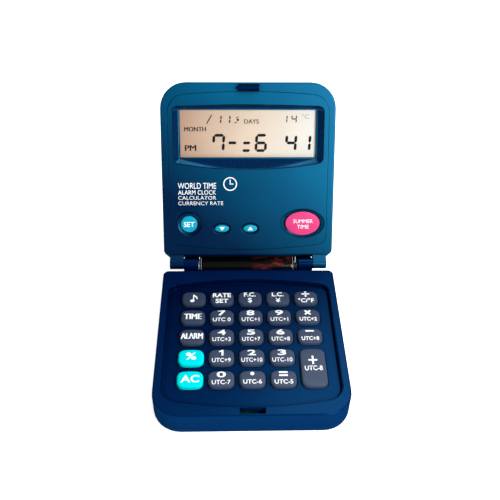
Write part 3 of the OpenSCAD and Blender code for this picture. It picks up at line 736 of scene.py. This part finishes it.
# the walls of the display recess are polished in the mould, so they mirror more, and their tone is painted
# darker than the lid's, as painted shade in the recess, with more painted shade in its inner corners
recess_walls_painted_shade = moulded_plastic("lid_abs_polished_walls_painted_shade", "#000c30", "#001c44", 0.25, 0.004, shine=0.0,
                             glow=("#58c8ff", 0.06), painted_shade_reach=3)
lid_face.data.materials.append(recess_walls_painted_shade)
recess_low, recess_high = 44, 74      # how far up the lid the recess runs
wall_facing = (0.2, 0.93)             # how far a wall faces out of the lid: 1 is flat, 0 is square on
# faces on the recess walls, picked by where they stand and which way they face, take the painted shade
for face in lid_face.data.polygons:
    facing = lid_turn.inverted() @ face.normal
    up_lid = (lid_place.inverted() @ face.center).y / mm
    if recess_low < up_lid < recess_high and wall_facing[0] < facing.z < wall_facing[1]:
        face.material_index = 1


def lid_box(node):
    """Lowest and highest corners of a CAD node in the lid's own frame, in millimetres: x across, y from
    the hinge to the free edge, z out of the lid's face."""
    inverse = lid_place.inverted()
    points = [inverse @ v.co / mm for v in frame["nodes"][node].data.vertices]
    return [Vector([pick_of(p[i] for p in points) for i in range(3)]) for pick_of in (min, max)]


def onto_lid(piece):
    """Turns a piece that was made lying flat in the lid's own frame to where the open lid is."""
    piece.data.transform(lid_place)
    return piece


# ---- latch ----
# A small hook, pressed into the notch of the lid's free edge, in the base's darker navy ABS rather than the
# lid's, as painted shade for the shade it lies in. It snaps into the slot in the base's front rim and holds
# the closed lid down.
fit_out(from_frame("latch", "latch_hook", 0.2), case_abs, "lid", "case", "latch_hook")

# ---- display ----
# A twisted-nematic LCD glass on a white reflector, in a white holder, behind a clear acrylic window.
# Rubber zebra strip joins its edge to the display board.
glass_top = lid_box("lcd_glass")[1].z

# LCD glass over a warm beige reflector, painted darker and warmer at the left, where the light skims it, and
# grey-white at the right: painted light across the display
reflector, tree = new_material("lcd_glass_on_warm_reflector_painted_light")
place = add(tree, "ShaderNodeTexCoord").outputs["Object"]
along = add(tree, "ShaderNodeSeparateXYZ", {}, {"Vector": place})
drift = add(tree, "ShaderNodeTexNoise", {"Scale": 1 / (30 * mm), "Detail": 1.0}, {"Vector": place})
share = add(tree, "ShaderNodeMapRange", {"From Min": -32 * mm, "From Max": 32 * mm},
            {"Value": along.outputs["X"]})
mixed = add(tree, "ShaderNodeMath", {"operation": "MULTIPLY_ADD", 1: 0.25, 2: -0.125},
            {0: drift.outputs["Fac"]})
total = add(tree, "ShaderNodeMath", {"operation": "ADD"}, {0: share.outputs[0], 1: mixed.outputs[0]})
tint = add(tree, "ShaderNodeValToRGB", {}, {"Fac": total.outputs[0]})
ramp = tint.color_ramp
ramp.elements[0].position, ramp.elements[0].color = 0.0, srgb("#b08c74")
ramp.elements[1].position, ramp.elements[1].color = 1.0, srgb("#d2d1ca")
middle_tint = ramp.elements.new(0.5)
middle_tint.color = srgb("#d2bea9")
shader = add(tree, "ShaderNodeBsdfPrincipled",
             {"Roughness": 0.35, "IOR": 1.5, "Coat Weight": 0.6, "Coat Roughness": 0.04},
             {"Base Color": tint.outputs["Color"]})
add(tree, "ShaderNodeOutputMaterial", {}, {"Surface": shader.outputs[0]})

fit_out(from_frame("lcd_cell", "lcd_glass", 0.12), reflector, "lid", "display", "lcd_glass")

# acrylic cut from sheet: clear and glossy, with the slight haze of fine scratches
acrylic, tree = new_material("acrylic_clear_sheet")
place = add(tree, "ShaderNodeTexCoord").outputs["Object"]
haze = add(tree, "ShaderNodeTexNoise", {"Scale": 1 / (12 * mm), "Detail": 4.0}, {"Vector": place})
veil = add(tree, "ShaderNodeMapRange", {"To Min": 0.015, "To Max": 0.045}, {"Value": haze.outputs["Fac"]})
shader = add(tree, "ShaderNodeBsdfPrincipled",
             {"Base Color": srgb("#707070"), "Roughness": 0.05, "IOR": 1.49}, {"Alpha": veil.outputs[0]})
add(tree, "ShaderNodeOutputMaterial", {}, {"Surface": shader.outputs[0]})
fit_out(from_frame("window", "lcd_lens", 0.15), acrylic, "lid", "window", "lcd_lens")

# liquid-crystal segments: flat blue-black where one is switched on and a faint grey where it is half on,
# as a film a few hundredths thick on the front of the glass
segment_black = plain_finish("lcd_segment_blue_black", "#0a0a14", 0.6, size=0.5, relief=0.002, shine=0.05)
segment_grey = plain_finish("lcd_segment_faint", "#8a8478", 0.5, size=0.5, relief=0.002)


def segment(x, y, length, thick, upright):
    """A six-sided LCD segment about x, y."""
    half, tip = length / 2, thick / 2
    shape = [(-half, 0), (-half + tip, -tip), (half - tip, -tip), (half, 0), (half - tip, tip),
             (-half + tip, tip)]
    if upright:
        shape = [(-b, a) for a, b in shape]
    return polygon(shape, x, y)


def figure(shown, left, low, width, height, thick, lean=0.07):
    """Segments of a seven-segment figure, lettered a to g clockwise from the top, with a lean."""
    gap = thick * 0.12
    across, tall = width - thick, height / 2 - thick / 2
    right, top, centre = left + width, low + height, low + height / 2
    spots = {
        "a": (left + width / 2, top - thick / 2, across - gap, False),
        "d": (left + width / 2, low + thick / 2, across - gap, False),
        "g": (left + width / 2, centre, across - gap, False),
        "f": (left + thick / 2, centre + tall / 2, tall - gap, True),
        "b": (right - thick / 2, centre + tall / 2, tall - gap, True),
        "e": (left + thick / 2, centre - tall / 2, tall - gap, True),
        "c": (right - thick / 2, centre - tall / 2, tall - gap, True),
    }
    made = [segment(spots[s][0], spots[s][1], spots[s][2], thick, spots[s][3]) for s in shown]
    for piece in made:
        for vertex in piece.data.vertices:
            vertex.co.x += lean * (vertex.co.y - centre * mm)
    return made


def lid_film(name, flats, material, height):
    """Joins flat shapes into one thin film that stands at that height out of the lid's face."""
    film_piece = one_layer(name, flats)
    modify(film_piece, "SOLIDIFY", thickness=ink_thick * mm, offset=1.0)
    shift(film_piece, 0, 0, height + 0.002)
    onto_lid(film_piece)
    return fit_out(film_piece, material, "lid", "display")


FIGURES = [  # segments shown, left edge, foot, width, height, thickness: clock, date, temperature
    ("abcf", -16.2, 51.3, 5.7, 8.1, 1.25), ("gd", -3.1, 51.3, 4.9, 8.1, 1.25),
    ("acdefg", 3.1, 51.3, 5.5, 8.1, 1.25), ("bcfg", 16.7, 51.3, 5.4, 8.1, 1.25),
    ("bc", 23.2, 51.3, 5.3, 8.1, 1.25),
    ("bc", -14.5, 63.8, 2.6, 4.0, 0.62), ("bc", -10.5, 63.8, 2.6, 4.0, 0.62),
    ("bc", 15.2, 64.2, 2.5, 3.6, 0.5), ("bcfg", 19.4, 64.2, 2.5, 3.6, 0.5),
]
shown_segments = (
    [piece for one in FIGURES for piece in figure(*one)]
    + [segment(-7.1, 55.4, 3.9, 1.25, False)]
    + [polygon([(-18.9, 63.8), (-18.4, 63.8), (-16.1, 67.8), (-16.6, 67.8)])]
    + heavy("MONTH", 9.8, 2.0, -23.8, 61.5) + heavy("DAYS", 6.6, 1.9, 1.5, 64.9, 0.08)
    + heavy("PM", 5.2, 2.6, -26.0, 53.1, 0.25)
    + [disc(0.55, 0.55, -4.6, 65.6), polygon([(-6.2, 64.3), (-5.9, 64.0), (-4.9, 64.6), (-5.1, 64.9)]),
       polygon([(-5.6, 66.4), (-5.3, 66.2), (-4.2, 66.9), (-4.4, 67.2)])]
)
lid_film("lcd_figures", shown_segments, segment_black, glass_top)
lid_film("lcd_degree_sign", [lettering("°C", 3.2, 2.1, 25.8, 67.1, 0.0)], segment_grey, glass_top)

# moulded ABS, unpainted: an even chalky white
holder_white = plain_finish("holder_abs_white", "#e4e4df", 0.5, size=1.2)
fit_out(from_frame("lcd_frame", "lcd_holder", 0.2), holder_white, "lid", "white_plastic", "lcd_holder")
finish_node(silicone, "zebra_strip")

# ---- lid buttons ----
# Four ABS caps with a low crown, each in its dish: three cyan and one large pink oval. A flange behind
# the panel holds each one in. White legends are printed on top.

# moulded ABS, unpainted: even bright colours with a soft highlight on the crown
button_cyan = moulded_plastic("button_abs_cyan", "#0090b0", "#069cba", 0.35, 0.006, 0.3, 6, 0.12)
button_pink = moulded_plastic("button_abs_pink", "#c6346e", "#d04279", 0.35, 0.006, 0.3, 6, 0.1)
BUTTON_LEGENDS = {
    "set_button": lambda: [lettering("SET", 4.9, 2.3, 0, -0.1, 0.015)],
    "down_button": lambda: [polygon([(-1.25, 0.75), (0, -0.85), (1.25, 0.75)])],
    "up_button": lambda: [polygon([(-1.25, -0.75), (1.25, -0.75), (0, 0.85)])],
    "saving_button": lambda: [lettering("SUMMER", 9.0, 1.75, 0.2, 1.05, 0.0),
                              lettering("TIME", 5.4, 1.75, 0.2, -1.55, 0.0)],
}
button_edge_r, button_crown = 0.22, 0.16
button_skirt = -2.4                # the cap's foot, under the panel's face
button_flange = (0.9, -2.7, -1.9)  # its width beyond the cap, and its foot and top under the panel's face
button_stem = (1.5, -4.7)          # its radius and foot
for node, legend in BUTTON_LEGENDS.items():
    low, high = lid_box(node)
    middle, half = (low + high) / 2, (high - low) / 2
    top = cap("cap", ellipse(half.x - button_flange[0], half.y - button_flange[0]), button_skirt,
              high.z - button_edge_r - button_crown, button_edge_r,
              [(0.85, 0.07), (0.8, 0.05), (0.7, 0.03), (0.5, 0.01)])
    layer = printed("legend_" + node, legend(), top, high.z + 1, cuts=3)
    flange = cap("flange", ellipse(half.x, half.y), button_flange[1], button_flange[2] - under_edge_r,
                 under_edge_r, [])
    stem = cap("stem", ellipse(button_stem[0], button_stem[0], 32), button_stem[1],
               button_flange[1] + under_edge_r, stem_edge_r, [])
    body = join("cap_" + node, [top, flange, stem])
    finish, slot = (button_pink, "button_pink") if node == "saving_button" else (button_cyan, "button_cyan")
    for piece in (body, layer):
        shift(piece, middle.x, middle.y)
        onto_lid(piece)
    fit_out(body, finish, node, slot, node)
    fit_out(layer, ink, node, "white_plastic")

# ---- lid print ----
# White words under the display, with a small clock face beside them, in the same ink as on the keys.
# They are printed on the lid panel before the buttons go in.
face_z = lid_box("lid_panel")[1].z
print_lines = [lettering("WORLD TIME", 17.3, 2.7, -23.2, 36.4, 0.0),
               lettering("ALARM CLOCK", 17.2, 2.0, -23.2, 33.4, 0.0),
               lettering("CALCULATOR", 17.2, 1.7, -23.2, 30.9, -0.004),
               lettering("CURRENCY RATE", 20.4, 1.7, -21.6, 28.4, -0.004)]
clock_x, clock_y, clock_r = -8.2, 37.2, 3.1
clock = [ring_band(clock_r, clock_r - 0.45, clock_x, clock_y), bar(0.4, 2.0, clock_x, clock_y + 1.0),
         bar(1.6, 0.4, clock_x + 0.7, clock_y), disc(0.3, 0.3, clock_x, clock_y)]
lid_film("lid_print", print_lines + clock, ink, face_z)
